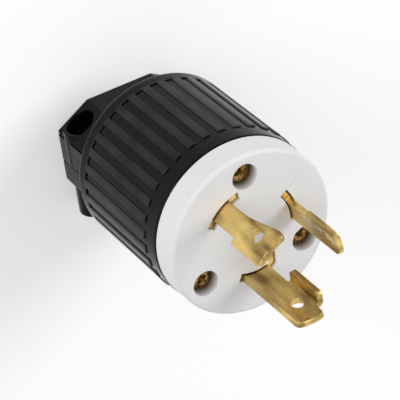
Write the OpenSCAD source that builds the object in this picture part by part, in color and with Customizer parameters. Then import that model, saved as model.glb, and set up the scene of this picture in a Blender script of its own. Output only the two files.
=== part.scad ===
// Locking power plug, three blades, 30 A 125 V pattern, bare of any cord.
// Frame: stands on the flat end of the cord clamp, +Z towards the blades,
// one face screw on +Y, clamp halves part on a plane normal to Y.

/* [Face] */
// Diameter of the white face
face_d = 51; // [50:0.5:52]
// Depth of the white rim in front of the black shell
rim_h = 8.5; // [7:0.5:10]
// Rounding of the face edge
face_round = 1.2; // [0.6:0.2:1.6]
// Place of the three face screws, as a share of the way from the blades to the shell's bore
screw_share = 0.46; // [0.44:0.01:0.48]
// Diameter of each face screw well
screw_well_d = 7.8; // [7.4:0.1:8.2]
// Depth of each screw well, face to screw seat
screw_well_h = 4.9; // [4:0.1:8]

/* [Blades] */
// Outer radius of the blade circle
blade_r = 14.8; // [14.6:0.1:15]
// Blade thickness
blade_t = 1.8; // [1.6:0.1:2]
// Neutral blade length in front of the face
neutral_len = 24.3; // [22:0.5:26]
// Hot blade length in front of the face
hot_len = 23.3; // [22:0.5:26]
// Ground blade length in front of the face
ground_len = 28; // [26:0.5:30]
// Height of the locking notch above the face
notch_h = 10.2; // [9:0.2:12]
// Diameter of the hole through each blade
blade_hole_d = 4; // [3.2:0.2:4.4]
// Chamfer on the blade tip corners
tip_chamfer = 1.3; // [0.6:0.1:1.8]

/* [Shell] */
// Outer diameter over the grip ribs
shell_d = 52.6; // [52.2:0.2:54]
// Shell length
shell_h = 43.8; // [42:0.2:46]
// Number of grip ribs
rib_count = 33; // [24:3:36]
// Height of each rib above the bands
rib_rise = 0.5; // [0.3:0.1:0.7]
// Smooth band in front of the ribs
front_band = 5.9; // [4:0.1:8]
// Raised band behind the ribs
rear_band = 4.3; // [3.5:0.1:6]

/* [Cord clamp] */
// Clamp width, side to side
clamp_w = 43.4; // [42:0.2:45]
// Clamp height across the parting plane
clamp_t = 29.6; // [29:0.2:31]
// Clamp length behind the shell
clamp_h = 18.8; // [17:0.2:20]
// Position of the parting plane, measured from the plug axis
parting_y = -1.7; // [-2:0.1:0]
// Diameter of the cord bore
cord_d = 21; // [18:0.5:21.5]
// Distance of each clamp screw from the plug axis
clamp_screw_x = 16.5; // [16:0.1:16.8]

/* [Hidden] */
$fn = 96;
eps = 0.01;
cut = 1;
seat_gap = 0.2;

// Levels along the plug
shell_z = clamp_h + seat_gap;
rim_z = shell_z + shell_h;
face_z = rim_z + rim_h;

// Shell
shell_r = shell_d/2;
band_r = shell_r - rib_rise;
wall = 2.4;
bore_r = band_r - wall;
floor_h = 3.5;
floor_z = shell_z + floor_h;
shell_round = 0.8;
lip_round = 1.4;
rib_pitch = 360/rib_count;
rib_share = 0.54;
rib_z0 = shell_z + rear_band;
rib_z1 = rim_z - front_band;
boss_r = 4.2;
boss_h = 16;
boss_z = floor_z + boss_h;
port_r = 14;
port_travel = 1.2;

// Face screws
screw_azimuths = [90, 210, 330];
screw_circle_r = blade_r + screw_share*(bore_r - blade_r);
thread_r = 1.75;
head_r = 3.4;
head_h = 2.4;
clear_r = 2.1;
seat_z = face_z - screw_well_h;
insert_r = 2.9;
insert_h = 9;
assembly_tip_z = boss_z - insert_h + 1;
retainer_r = 3;
retainer_h = 1;
retainer_gap = 0.2;
drive_w = 1.1;
drive_l = 4.2;
drive_h = 1.3;

// White body: rim and the spigot that centres it in the shell
spigot_r = bore_r - seat_gap;
spigot_h = 4;
spigot_z = rim_z - spigot_h;
bead_h = 0.8;
bead_rise = 0.12;

// Blade slots in the face
slot_gap_in = 0.35;
slot_gap_out = 0.4;
slot_ri = blade_r - blade_t - slot_gap_in;
slot_ro = blade_r + slot_gap_out;
slot_end_gap = 0.7;
ring_over = 10;
shoulder_drop = 1.5;
shank_z = face_z - shoulder_drop - eps;

// Reach of a cut that goes through a blade
blade_cut_in = blade_r - blade_t - cut;
blade_cut_out = blade_r + cut;

// Blade azimuths: slot from, slot to, shank from, shank to, head from, head to
neutral = [100.5, 151, 113.3, 140.1, 103.6, 147.6];
hot = [-5, 35.7, -4.3, 22, -4.3, 30];
ground = [247, 294.5, 250, 286.5, 250, 286.5];
ground_leg = 268;
neutral_hole = [122.8, 17.4];
hot_hole = [12, 18];
ground_hole = [272, 19.5];
flare_end = 0.86*neutral_len;
flare_run = (blade_r - blade_t/2)*sin(neutral[2] - neutral[4]);
notch_reach = 4;
hook_x0 = 4.35;
hook_x1 = hook_x0 + blade_t;
hook_inset = 2.2;
hook_reach = 3.6;
hook_y1 = hook_inset - blade_r;
hook_y0 = hook_y1 + hook_reach;
hook_len = 24;
hook_bend = 1.2;
hook_rise = 1.7;

// Terminal end of each blade
leg_w = 11;
leg_r = blade_r - 0.3;
leg_rise = 3.5;
leg_z0 = boss_z + leg_rise;
leg_z1 = spigot_z - 0.1;
fold_h = 2.5;
terminal_rise = 6;
terminal_z = leg_z0 + terminal_rise;
terminal_r = 2.1;
terminal_hole_r = 2.3;
terminal_head_r = 4.2;
terminal_head_h = 2.8;
terminal_reach = 7.4;
plate_w = 9.4;
plate_h = 9;
plate_t = 2;

// Terminal base
base_gap = 0.5;
base_r = bore_r - base_gap;
base_z = boss_z;
pocket_gap = 0.25;
chamber_in = 6.2;
chamber_w = 10.4;
chamber_drop = 0.6;
chamber_h = 13;
chamber_z0 = leg_z0 - chamber_drop;
chamber_z1 = chamber_z0 + chamber_h;
head_well_r = 4.7;
wire_r = 2.9;
wire_at = 10.2;

// Single screw that joins the base to the white body
core_screw_r = 1.5;
core_head_r = 3;
core_head_h = 2;
core_drive_l = 3.1;
core_screw_z1 = spigot_z + 8.5;

// Cord clamp
clamp_x = clamp_w/2;
clamp_y = clamp_t/2;
clamp_x_flat = 10.85;
clamp_y_flat = 8.5;
neck_r = port_r - 0.4;
collar_r = 16.6;
collar_h = 2;
collar_z = floor_z + 0.2;
collar_notch_r = boss_r + 0.4;
ridge_h = 1.1;
ridge_w = 2.2;
ridge_pitch = 4.4;
ridge_count = 3;
ridge_z0 = 4.2;
mouth_h = 1.2;
clamp_screw_z = 5.6;
clamp_boss_r = 5.4;
clamp_boss_y = 10.3;
clamp_well_r = 4.2;
clamp_seat_y = 3.4;
post_r = 4.8;
post_y = -18.8;
clamp_hole_r = 1.95;
nut_af = 6;
nut_h = 2.8;
nut_gap = 0.1;
hex_sides = 6;
nut_corner_d = nut_af/cos(180/hex_sides);
pocket_corner_d = (nut_af + 2*nut_gap)/cos(180/hex_sides);
step_y0 = 7.3;
step_h = 0.9;
step_d = 0.45;
cord_r = cord_d/2;

// Ring sector with true cylindrical walls
module sector(ri, ro, a0, a1, z0, z1) {
  translate([0, 0, z0])
    rotate_extrude(angle = a1 - a0, start = a0)
      translate([ri, 0])
        square([ro - ri, z1 - z0]);
}

// Prism that runs outwards along the radius at azimuth a; points are [sideways, height]
module radial_prism(a, r0, r1, points) {
  rotate([0, 0, a])
    translate([r0, 0, 0])
      rotate([90, 0, 90])
        linear_extrude(r1 - r0)
          polygon(points);
}

// Round bore along the radius at azimuth a
module radial_rod(a, r0, r1, z, r) {
  rotate([0, 0, a])
    translate([r0, 0, z])
      rotate([0, 90, 0])
        cylinder(h = r1 - r0, r = r);
}

// Box placed outwards at azimuth a
module radial_box(a, r0, r1, w, z0, z1) {
  rotate([0, 0, a])
    translate([r0, -w/2, z0])
      cube([r1 - r0, w, z1 - z0]);
}

// Ring of material that rounds an outer edge when it is taken away
module edge_round_top(r, z, e) {
  translate([0, 0, z - e])
    rotate_extrude()
      difference() {
        translate([r - e, 0])
          square([2*e, 2*e]);
        translate([r - e, 0])
          circle(r = e);
      }
}

module edge_round_bottom(r, z, e) {
  translate([0, 0, 2*z])
    mirror([0, 0, 1])
      edge_round_top(r, z, e);
}

module at_screws() {
  for (a = screw_azimuths)
    rotate([0, 0, a])
      translate([screw_circle_r, 0, 0])
        children();
}

module rear_housing() {
  color([0.05, 0.05, 0.055])
    difference() {
      union() {
        difference() {
          union() {
            translate([0, 0, shell_z])
              cylinder(h = shell_h, r = band_r);
            translate([0, 0, shell_z])
              cylinder(h = rear_band, r = shell_r);
          }
          translate([0, 0, floor_z])
            cylinder(h = shell_h, r = bore_r);
          edge_round_top(band_r, rim_z, shell_round);
          edge_round_bottom(shell_r, shell_z, lip_round);
        }
        for (i = [0:rib_count - 1])
          sector(band_r - shell_round, shell_r,
            90 + (i + 0.5 - rib_share/2)*rib_pitch, 90 + (i + 0.5 + rib_share/2)*rib_pitch,
            rib_z0, rib_z1);
        at_screws()
          translate([0, 0, floor_z - eps])
            cylinder(h = boss_z - floor_z + eps, r = boss_r);
      }
      for (s = [-1, 1])
        translate([0, s*port_travel, shell_z - cut])
          cylinder(h = floor_h + 2*cut, r = port_r);
      translate([-port_r, -port_travel, shell_z - cut])
        cube([2*port_r, 2*port_travel, floor_h + 2*cut]);
      at_screws()
        translate([0, 0, boss_z - insert_h])
          cylinder(h = insert_h + cut, r = insert_r);
    }
}

module front_body() {
  color([0.93, 0.93, 0.92])
    difference() {
      union() {
        translate([0, 0, rim_z])
          cylinder(h = rim_h, r = face_d/2);
        translate([0, 0, rim_z])
          cylinder(h = bead_h, r = face_d/2 + bead_rise);
        translate([0, 0, spigot_z])
          cylinder(h = spigot_h + eps, r = spigot_r);
      }
      edge_round_top(face_d/2, face_z, face_round);
      blade_slot(neutral, spigot_z - cut, face_z + cut);
      blade_slot(hot, spigot_z - cut, face_z + cut);
      ground_slot(spigot_z - cut, face_z + cut);
      at_screws() {
        translate([0, 0, seat_z])
          cylinder(h = screw_well_h + cut, r = screw_well_d/2);
        translate([0, 0, spigot_z - cut])
          cylinder(h = face_z - spigot_z, r = clear_r);
      }
      translate([0, 0, spigot_z - cut])
        cylinder(h = core_screw_z1 - spigot_z + cut, r = core_screw_r);
    }
}

module blade_slot(b, z0, z1) {
  sector(slot_ri, slot_ro, b[0], b[1], z0, z1);
}

// Slot for the L-shaped ground blade, widened by a gap all round
module ground_slot(z0, z1) {
  intersection() {
    sector(slot_ri, slot_ro, ground[0], ground[1] + ring_over, z0, z1);
    translate([-blade_r, -2*blade_r, z0 - cut])
      cube([blade_r + hook_x1 + slot_gap_in, 2*blade_r, z1 - z0 + 2*cut]);
  }
  translate([hook_x0 - slot_gap_in, hook_y1, z0])
    cube([blade_t + 2*slot_gap_in, hook_y0 - hook_y1 + slot_gap_in, z1 - z0]);
}

// Arc that runs into the inward bend, with the flange that makes the hook
module hook_section(a0, z0, z1) {
  difference() {
    union() {
      intersection() {
        sector(blade_r - blade_t, blade_r, a0, ground[1] + ring_over, z0, z1);
        translate([-blade_r, -2*blade_r, z0 - cut])
          cube([blade_r + hook_x1, 2*blade_r, z1 - z0 + 2*cut]);
      }
      translate([hook_x0, hook_y1, z0])
        cube([blade_t, hook_y0 - hook_y1, z1 - z0]);
    }
    hook_edge(z0 - cut, z1 + cut);
  }
}

// Flat leg with the hole for its terminal screw
module blade_leg(a) {
  difference() {
    radial_box(a, leg_r - blade_t, leg_r, leg_w, leg_z0, leg_z1);
    radial_rod(a, leg_r - blade_t - cut, leg_r + cut, terminal_z, terminal_hole_r);
  }
}

// Curved part that fills the slot, from the leg up to the shoulder below the face
module blade_shoulder(b) {
  sector(blade_r - blade_t, blade_r, b[0] + slot_end_gap, b[1] - slot_end_gap,
    spigot_z - fold_h, face_z - shoulder_drop);
}

// Wedge that takes off a corner: it starts low below z at the edge and ends
// tip_chamfer in from it, and runs on past both ends
module tip_corner(a, side, z, low) {
  over = cut*low/tip_chamfer;
  radial_prism(a, blade_cut_in, blade_cut_out,
    [[-side*(tip_chamfer + cut), z + over], [side*cut, z - low - over], [side*cut, z + over]]);
}

module blade_hole(h) {
  radial_rod(h[0], blade_cut_in, blade_cut_out, face_z + h[1], blade_hole_d/2);
}

function leg_azimuth(b) = (b[0] + b[1])/2;

// Edge beside the shank taken away, up to the locking notch
module notch_cut(a, side) {
  radial_prism(a, blade_cut_in, blade_cut_out,
    [[0, shank_z - cut], [0, face_z + notch_h], [side*notch_reach, face_z + notch_h],
      [side*notch_reach, shank_z - cut]]);
}

// The same on the neutral blade's sloping side, where the head flares out from the notch up
module flare_cut() {
  radial_prism(neutral[2], blade_cut_in, blade_cut_out,
    [[0, shank_z - cut], [0, face_z + notch_h], [-flare_run, face_z + flare_end],
      [-notch_reach, face_z + flare_end], [-notch_reach, shank_z - cut]]);
}

module blade_neutral() {
  tip = face_z + neutral_len;
  color([0.87, 0.72, 0.38])
    difference() {
      union() {
        blade_leg(leg_azimuth(neutral));
        blade_shoulder(neutral);
        difference() {
          sector(blade_r - blade_t, blade_r, neutral[4], neutral[5], shank_z, tip);
          flare_cut();
          notch_cut(neutral[3], 1);
        }
      }
      tip_corner(neutral[4], -1, tip, tip_chamfer);
      tip_corner(neutral[5], 1, tip, tip_chamfer);
      blade_hole(neutral_hole);
    }
}

module blade_hot() {
  tip = face_z + hot_len;
  color([0.80, 0.64, 0.30])
    difference() {
      union() {
        blade_leg(leg_azimuth(hot));
        blade_shoulder(hot);
        difference() {
          sector(blade_r - blade_t, blade_r, hot[4], hot[5], shank_z, tip);
          notch_cut(hot[3], 1);
        }
      }
      tip_corner(hot[4], -1, tip, tip_chamfer);
      tip_corner(hot[5], 1, tip, 2*tip_chamfer);
      blade_hole(hot_hole);
    }
}

module blade_ground() {
  tip = face_z + ground_len;
  hook_top = face_z + hook_len;
  color([0.80, 0.64, 0.30])
    difference() {
      union() {
        blade_leg(ground_leg);
        hook_section(ground[0] + slot_end_gap, spigot_z - fold_h, face_z - shoulder_drop);
        sector(blade_r - blade_t, blade_r, ground[2], ground[3], shank_z, tip);
        hook_section(ground[3] - slot_end_gap, face_z + notch_h, hook_top);
      }
      tip_corner(ground[2], -1, tip, tip_chamfer);
      tip_corner(ground[3], 1, tip, tip_chamfer);
      hook_corner(hook_top, 1);
      hook_corner(face_z + notch_h, -1);
      blade_hole(ground_hole);
    }
}

// Corner taken off the free edge of the hook
module hook_corner(z, side) {
  translate([hook_x0 - cut, 0, 0])
    rotate([90, 0, 90])
      linear_extrude(blade_t + 2*cut)
        polygon([[hook_y0 + cut, z - side*(tip_chamfer + cut)], [hook_y0 + cut, z + side*cut],
          [hook_y0 - tip_chamfer - cut, z + side*cut]]);
}

// Outside of the bend, taken off along the whole hook
module hook_edge(z0, z1) {
  bend_x = hook_x1 - hook_bend;
  bend_y = -sqrt(blade_r*blade_r - bend_x*bend_x);
  slope = hook_rise/hook_bend;
  translate([0, 0, z0])
    linear_extrude(z1 - z0)
      polygon([[bend_x - cut, bend_y - cut*slope], [hook_x1 + cut, bend_y - cut*slope],
        [hook_x1 + cut, bend_y + hook_rise + cut*slope]]);
}

module wire_plate(a) {
  inner = leg_r - blade_t - plate_t;
  difference() {
    radial_box(a, inner, leg_r - blade_t, plate_w,
      terminal_z - plate_h/2, terminal_z + plate_h/2);
    radial_rod(a, inner - cut, leg_r, terminal_z, terminal_r);
  }
}

module wire_plate_neutral() {
  color([0.75, 0.75, 0.74])
    wire_plate(leg_azimuth(neutral));
}

module wire_plate_hot() {
  color([0.78, 0.64, 0.32])
    wire_plate(leg_azimuth(hot));
}

module wire_plate_ground() {
  color([0.78, 0.64, 0.32])
    wire_plate(ground_leg);
}

// Pan head screw that lies along a radius, its head outwards
module terminal_screw(a) {
  difference() {
    union() {
      radial_rod(a, terminal_reach, leg_r + eps, terminal_z, terminal_r);
      radial_rod(a, leg_r, leg_r + terminal_head_h, terminal_z, terminal_head_r);
    }
    rotate([0, 0, a])
      translate([leg_r + terminal_head_h, 0, terminal_z])
        rotate([0, 90, 0])
          cross_recess(drive_l);
  }
}

module terminal_screw_neutral() {
  color([0.78, 0.78, 0.77])
    terminal_screw(leg_azimuth(neutral));
}

module terminal_screw_hot() {
  color([0.82, 0.66, 0.32])
    terminal_screw(leg_azimuth(hot));
}

module terminal_screw_ground() {
  color([0.15, 0.45, 0.22])
    terminal_screw(ground_leg);
}

// Cross recess, centred, cut downwards from the origin
module cross_recess(length) {
  for (a = [0, 90])
    rotate([0, 0, a])
      translate([-length/2, -drive_w/2, -drive_h])
        cube([length, drive_w, drive_h + cut]);
}

module terminal_base() {
  color([0.86, 0.85, 0.82])
    difference() {
      translate([0, 0, base_z])
        cylinder(h = spigot_z - base_z, r = base_r);
      for (a = [leg_azimuth(neutral), leg_azimuth(hot), ground_leg])
        base_pocket(a);
      for (b = [neutral, hot])
        blade_slot(b, spigot_z - fold_h - pocket_gap, spigot_z + cut);
      ground_slot(spigot_z - fold_h - pocket_gap, spigot_z + cut);
      at_screws() {
        translate([0, 0, base_z - cut])
          cylinder(h = spigot_z - base_z + 2*cut, r = clear_r);
        translate([0, 0, spigot_z - retainer_h - retainer_gap])
          cylinder(h = retainer_h + retainer_gap + cut, r = retainer_r + retainer_gap);
      }
      translate([0, 0, base_z - cut])
        cylinder(h = spigot_z - base_z + 2*cut, r = core_screw_r + retainer_gap);
      translate([0, 0, base_z - cut])
        cylinder(h = core_head_h + cut + retainer_gap, r = core_head_r + retainer_gap);
    }
}

// Everything one blade needs in the base: leg slot, wire chamber, screw well, wire hole
module base_pocket(a) {
  radial_box(a, leg_r - blade_t - pocket_gap, leg_r + pocket_gap, leg_w + 2*pocket_gap,
    leg_z0, spigot_z + cut);
  radial_box(a, chamber_in, leg_r - blade_t, chamber_w, chamber_z0, chamber_z1);
  radial_rod(a, leg_r, base_r + cut, terminal_z, head_well_r);
  rotate([0, 0, a])
    translate([wire_at, 0, base_z - cut])
      cylinder(h = chamber_z0 - base_z + 2*cut, r = wire_r);
}

// Pan head screw standing on its thread, head from z to z + h, cross recess on top
module pan_screw(z_seat, z_tip, r_thread, r_head, h_head) {
  difference() {
    union() {
      translate([0, 0, z_tip])
        cylinder(h = z_seat - z_tip + eps, r = r_thread);
      translate([0, 0, z_seat])
        cylinder(h = h_head, r = r_head);
    }
    translate([0, 0, z_seat + h_head])
      cross_recess(drive_l);
  }
}

module assembly_screws() {
  color([0.62, 0.50, 0.30])
    at_screws()
      pan_screw(seat_z, assembly_tip_z, thread_r, head_r, head_h);
}

module screw_retainers() {
  color([0.55, 0.16, 0.10])
    at_screws()
      translate([0, 0, spigot_z - retainer_h])
        difference() {
          cylinder(h = retainer_h, r = retainer_r);
          translate([0, 0, -cut])
            cylinder(h = retainer_h + 2*cut, r = thread_r);
        }
}

module housing_inserts() {
  color([0.80, 0.65, 0.33])
    at_screws()
      translate([0, 0, boss_z - insert_h])
        difference() {
          cylinder(h = insert_h, r = insert_r);
          translate([0, 0, -cut])
            cylinder(h = insert_h + 2*cut, r = thread_r);
        }
}

module base_screw() {
  color([0.70, 0.70, 0.70])
    difference() {
      union() {
        translate([0, 0, base_z])
          cylinder(h = core_screw_z1 - base_z, r = core_screw_r);
        translate([0, 0, base_z])
          cylinder(h = core_head_h + retainer_gap, r = core_head_r);
      }
      translate([0, 0, base_z])
        mirror([0, 0, 1])
          cross_recess(core_drive_l);
    }
}

// Outline of the clamp, seen along the plug
module clamp_outline() {
  polygon([[clamp_x, clamp_y_flat], [clamp_x_flat, clamp_y], [-clamp_x_flat, clamp_y],
    [-clamp_x, clamp_y_flat], [-clamp_x, -clamp_y_flat], [-clamp_x_flat, -clamp_y],
    [clamp_x_flat, -clamp_y], [clamp_x, -clamp_y_flat]]);
}

// Block, neck and collar of both halves, before they are parted
module clamp_body() {
  difference() {
    union() {
      linear_extrude(clamp_h)
        clamp_outline();
      translate([0, 0, clamp_h - cut])
        cylinder(h = collar_z - clamp_h + cut + eps, r = neck_r);
      translate([0, 0, collar_z])
        cylinder(h = collar_h, r = collar_r);
    }
    at_screws()
      translate([0, 0, collar_z - cut])
        cylinder(h = collar_h + 2*cut, r = collar_notch_r);
  }
}

module cord_bore() {
  translate([0, 0, -cut])
    cylinder(h = collar_z + collar_h + 2*cut, r = cord_r);
  translate([0, 0, -eps])
    cylinder(h = mouth_h, r1 = cord_r + mouth_h, r2 = cord_r);
}

// Gripping ridges inside the bore
module cord_ridges() {
  for (i = [0:ridge_count - 1])
    translate([0, 0, ridge_z0 + i*ridge_pitch])
      rotate_extrude()
        polygon([[cord_r + ridge_h, -ridge_w/2 - ridge_h], [cord_r + ridge_h, ridge_w/2 + ridge_h],
          [cord_r - ridge_h, ridge_w/4], [cord_r - ridge_h, -ridge_w/4]]);
}

module upper_side() {
  translate([-clamp_w, parting_y, -cut])
    cube([2*clamp_w, clamp_w, 2*clamp_w]);
}

module lower_side() {
  translate([-clamp_w, parting_y - clamp_w, -cut])
    cube([2*clamp_w, clamp_w, 2*clamp_w]);
}

// Rod parallel to Y on each clamp screw axis
module clamp_rods(y0, y1, r) {
  for (s = [-1, 1])
    translate([s*clamp_screw_x, y1, clamp_screw_z])
      rotate([90, 0, 0])
        cylinder(h = y1 - y0, r = r);
}

module clamp_upper() {
  color([0.05, 0.05, 0.055])
    difference() {
      union() {
        intersection() {
          clamp_body();
          upper_side();
        }
        clamp_rods(parting_y, clamp_boss_y, clamp_boss_r);
        intersection() {
          cord_ridges();
          upper_side();
        }
      }
      difference() {
        for (s = [-1, 1])
          translate([s*clamp_x - step_d, step_y0, -cut])
            cube([2*step_d, step_h, clamp_h + 2*cut]);
        clamp_rods(parting_y, clamp_boss_y, clamp_boss_r);
      }
      difference() {
        cord_bore();
        cord_ridges();
      }
      clamp_rods(parting_y - cut, clamp_y + cut, clamp_hole_r);
      clamp_rods(clamp_seat_y, clamp_y + cut, clamp_well_r);
    }
}

module clamp_lower() {
  color([0.05, 0.05, 0.055])
    difference() {
      union() {
        intersection() {
          clamp_body();
          lower_side();
        }
        clamp_rods(post_y, parting_y, post_r);
        intersection() {
          cord_ridges();
          lower_side();
        }
      }
      difference() {
        cord_bore();
        cord_ridges();
      }
      clamp_rods(post_y - cut, parting_y + cut, clamp_hole_r);
      for (s = [-1, 1])
        translate([s*clamp_screw_x, post_y + nut_h + nut_gap, clamp_screw_z])
          rotate([90, 0, 0])
            cylinder(h = nut_h + nut_gap + cut, d = pocket_corner_d, $fn = hex_sides);
    }
}

module clamp_screws() {
  color([0.62, 0.50, 0.30])
    for (s = [-1, 1])
      translate([s*clamp_screw_x, 0, clamp_screw_z])
        rotate([-90, 0, 0])
          pan_screw(clamp_seat_y, post_y + nut_gap, thread_r, head_r, head_h);
}

module clamp_nuts() {
  color([0.75, 0.75, 0.74])
    for (s = [-1, 1])
      translate([s*clamp_screw_x, post_y + nut_h + nut_gap, clamp_screw_z])
        rotate([90, 0, 0])
          difference() {
            cylinder(h = nut_h, d = nut_corner_d, $fn = hex_sides);
            translate([0, 0, -cut])
              cylinder(h = nut_h + 2*cut, r = thread_r);
          }
}

rear_housing();
front_body();
terminal_base();
blade_neutral();
blade_hot();
blade_ground();
wire_plate_neutral();
wire_plate_hot();
wire_plate_ground();
terminal_screw_neutral();
terminal_screw_hot();
terminal_screw_ground();
assembly_screws();
screw_retainers();
housing_inserts();
base_screw();
clamp_upper();
clamp_lower();
clamp_screws();
clamp_nuts();
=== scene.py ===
# Locking power plug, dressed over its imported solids. Lengths are millimetres until a piece is placed.
import math

import bmesh
import bpy
from mathutils import Matrix, Vector


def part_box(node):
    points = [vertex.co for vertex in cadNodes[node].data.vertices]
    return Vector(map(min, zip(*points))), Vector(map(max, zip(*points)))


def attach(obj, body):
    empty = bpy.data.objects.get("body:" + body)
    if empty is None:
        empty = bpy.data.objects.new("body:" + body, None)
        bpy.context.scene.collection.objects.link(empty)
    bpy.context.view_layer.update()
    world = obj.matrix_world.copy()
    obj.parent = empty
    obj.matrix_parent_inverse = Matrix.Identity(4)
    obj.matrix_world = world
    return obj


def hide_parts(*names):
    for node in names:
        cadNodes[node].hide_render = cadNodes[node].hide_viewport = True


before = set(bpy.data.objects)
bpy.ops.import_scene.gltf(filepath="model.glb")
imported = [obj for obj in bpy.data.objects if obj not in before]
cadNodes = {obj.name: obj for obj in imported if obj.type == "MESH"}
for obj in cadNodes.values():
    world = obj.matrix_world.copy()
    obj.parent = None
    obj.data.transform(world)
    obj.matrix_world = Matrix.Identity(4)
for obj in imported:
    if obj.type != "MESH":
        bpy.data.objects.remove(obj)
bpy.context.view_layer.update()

mm = 0.001
scene = bpy.context.scene


def mmBox(name):
    low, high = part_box(name)
    return low / mm, high / mm


# levels that the pieces share, read from the solids
faceZ = mmBox("front_body")[1].z
spigotZ = mmBox("front_body")[0].z
shellLow, shellHigh = mmBox("rear_housing")
rimZ, shellZ, shellR = shellHigh.z, shellLow.z, shellHigh.x
screwTipZ = mmBox("assembly_screws")[0].z
print("frame read, face at %.1f mm" % faceZ)


def put(tree, kind, links=None, **settings):
    # one node, its settings, and its sockets by value or by link
    made = tree.nodes.new(kind)
    for key, value in settings.items():
        setattr(made, key, value)
    for socket, value in (links or {}).items():
        if isinstance(value, bpy.types.NodeSocket):
            tree.links.new(value, made.inputs[socket])
        else:
            made.inputs[socket].default_value = value
    return made


def linear(code):
    parts = [int(code[i:i + 2], 16) / 255 for i in (1, 3, 5)]
    return [p / 12.92 if p <= 0.04045 else ((p + 0.055) / 1.055) ** 2.4 for p in parts] + [1.0]


def newMaterial(name):
    made = bpy.data.materials.new(name)
    made.use_nodes = True
    made.node_tree.nodes.clear()
    return made, made.node_tree


def grainSize(sizeMm):
    return 1 / (sizeMm * mm)      # noise scale for a pattern this wide


def mouldedNylon(name, look):
    # injection-moulded nylon: an even skin with a faint mould grain and slow sink marks
    made, tree = newMaterial(name)
    spot = put(tree, "ShaderNodeTexCoord").outputs["Object"]
    grain = put(tree, "ShaderNodeTexNoise", {"Vector": spot, "Scale": grainSize(look["grain"]),
                                             "Detail": 3.0})
    sink = put(tree, "ShaderNodeTexNoise", {"Vector": spot, "Scale": grainSize(look["sink"]),
                                            "Detail": 1.0})
    rough = put(tree, "ShaderNodeMapRange", {
        "Value": grain.outputs["Fac"], "From Min": 0.3, "From Max": 0.7,
        "To Min": look["rough"][0], "To Max": look["rough"][1]})
    tint = put(tree, "ShaderNodeMix", {"Factor": sink.outputs["Fac"]}, data_type="RGBA")
    tint.inputs[6].default_value = linear(look["colour"])
    tint.inputs[7].default_value = linear(look["shade"])
    if "deep" in look:      # painted shade: the walls of wells and slots, below the face and inside the rim, turn darker and warmer
        place = put(tree, "ShaderNodeSeparateXYZ", {0: spot})
        flat = put(tree, "ShaderNodeCombineXYZ", {"X": place.outputs["X"], "Y": place.outputs["Y"]})
        out = put(tree, "ShaderNodeVectorMath", {0: flat.outputs[0]}, operation="LENGTH")
        inner = put(tree, "ShaderNodeMath", {0: out.outputs["Value"], 1: look["deepR"] * mm},
                    operation="LESS_THAN")
        sunk = put(tree, "ShaderNodeMapRange", {
            "Value": place.outputs["Z"], "From Min": (faceZ - 0.3) * mm,
            "From Max": (faceZ - look["deepAt"]) * mm})
        paintedRecessShade = put(tree, "ShaderNodeMath", {0: sunk.outputs["Result"], 1: inner.outputs[0]},
                     operation="MULTIPLY")
        # painted shade: a darker warm tint mixed in down the wells and slots
        tint = put(tree, "ShaderNodeMix", {"Factor": paintedRecessShade.outputs[0], 6: tint.outputs[2],
                                           7: linear(look["deep"])}, data_type="RGBA")
    level = look["level"]
    # rib tops are satin and a little paler, a painted sheen, while the grooves keep the mould gloss
    if "ribSheenTone" in look:
        place = put(tree, "ShaderNodeSeparateXYZ", {0: spot})
        flat = put(tree, "ShaderNodeCombineXYZ", {"X": place.outputs["X"], "Y": place.outputs["Y"]})
        out = put(tree, "ShaderNodeVectorMath", {0: flat.outputs[0]}, operation="LENGTH")
        top = put(tree, "ShaderNodeMapRange", {
            "Value": out.outputs["Value"], "From Min": (shellR - 0.4) * mm,
            "From Max": (shellR - 0.06) * mm})
        past = put(tree, "ShaderNodeMath", {0: place.outputs["Z"], 1: (shellZ + look["ribsFrom"]) * mm},
                   operation="GREATER_THAN")
        onRib = put(tree, "ShaderNodeMath", {0: top.outputs["Result"], 1: past.outputs[0]},
                    operation="MULTIPLY")
        ribSheen = put(tree, "ShaderNodeMath", {0: onRib.outputs[0], 1: sink.outputs["Fac"]},
                   operation="MULTIPLY")
        under = put(tree, "ShaderNodeMath", {0: 1.0, 1: onRib.outputs[0]}, operation="SUBTRACT")
        corner = put(tree, "ShaderNodeMath", {0: onRib.outputs[0], 1: under.outputs[0]},
                     operation="MULTIPLY")
        shine = put(tree, "ShaderNodeMath", {0: corner.outputs[0], 1: look["paintedCornerHighlight"],
                                             2: ribSheen.outputs[0]},
                    operation="MULTIPLY_ADD")      # painted highlight: the ribs' corners get a raised specular level that draws thin light lines
        level = put(tree, "ShaderNodeMapRange", {
            "Value": shine.outputs[0], "From Max": 0.7, "To Min": level, "To Max": look["ribSheenLevel"]},
            clamp=False).outputs["Result"]
        # painted sheen: the rib tops are mixed towards a paler tone
        tint = put(tree, "ShaderNodeMix", {"Factor": ribSheen.outputs[0], 6: tint.outputs[2],
                                           7: linear(look["ribSheenTone"])}, data_type="RGBA")
        rough = put(tree, "ShaderNodeMath", {0: onRib.outputs[0], 1: look["ribRough"],
                                             2: rough.outputs["Result"]},
                    operation="MULTIPLY_ADD")
    slow = put(tree, "ShaderNodeBump", {
        "Height": sink.outputs["Fac"], "Strength": look["sinkBump"], "Distance": 0.1 * mm})
    fine = put(tree, "ShaderNodeBump", {
        "Height": grain.outputs["Fac"], "Strength": look["grainBump"], "Distance": 0.02 * mm,
        "Normal": slow.outputs["Normal"]})
    skin = put(tree, "ShaderNodeBsdfPrincipled", {
        "Base Color": tint.outputs[2], "Roughness": rough.outputs[0],
        "IOR": look["ior"], "Specular IOR Level": level, "Subsurface Weight": look["soft"],
        "Subsurface Scale": mm,
        "Normal": fine.outputs["Normal"]})
    put(tree, "ShaderNodeOutputMaterial", {"Surface": skin.outputs["BSDF"]})
    return made


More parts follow.
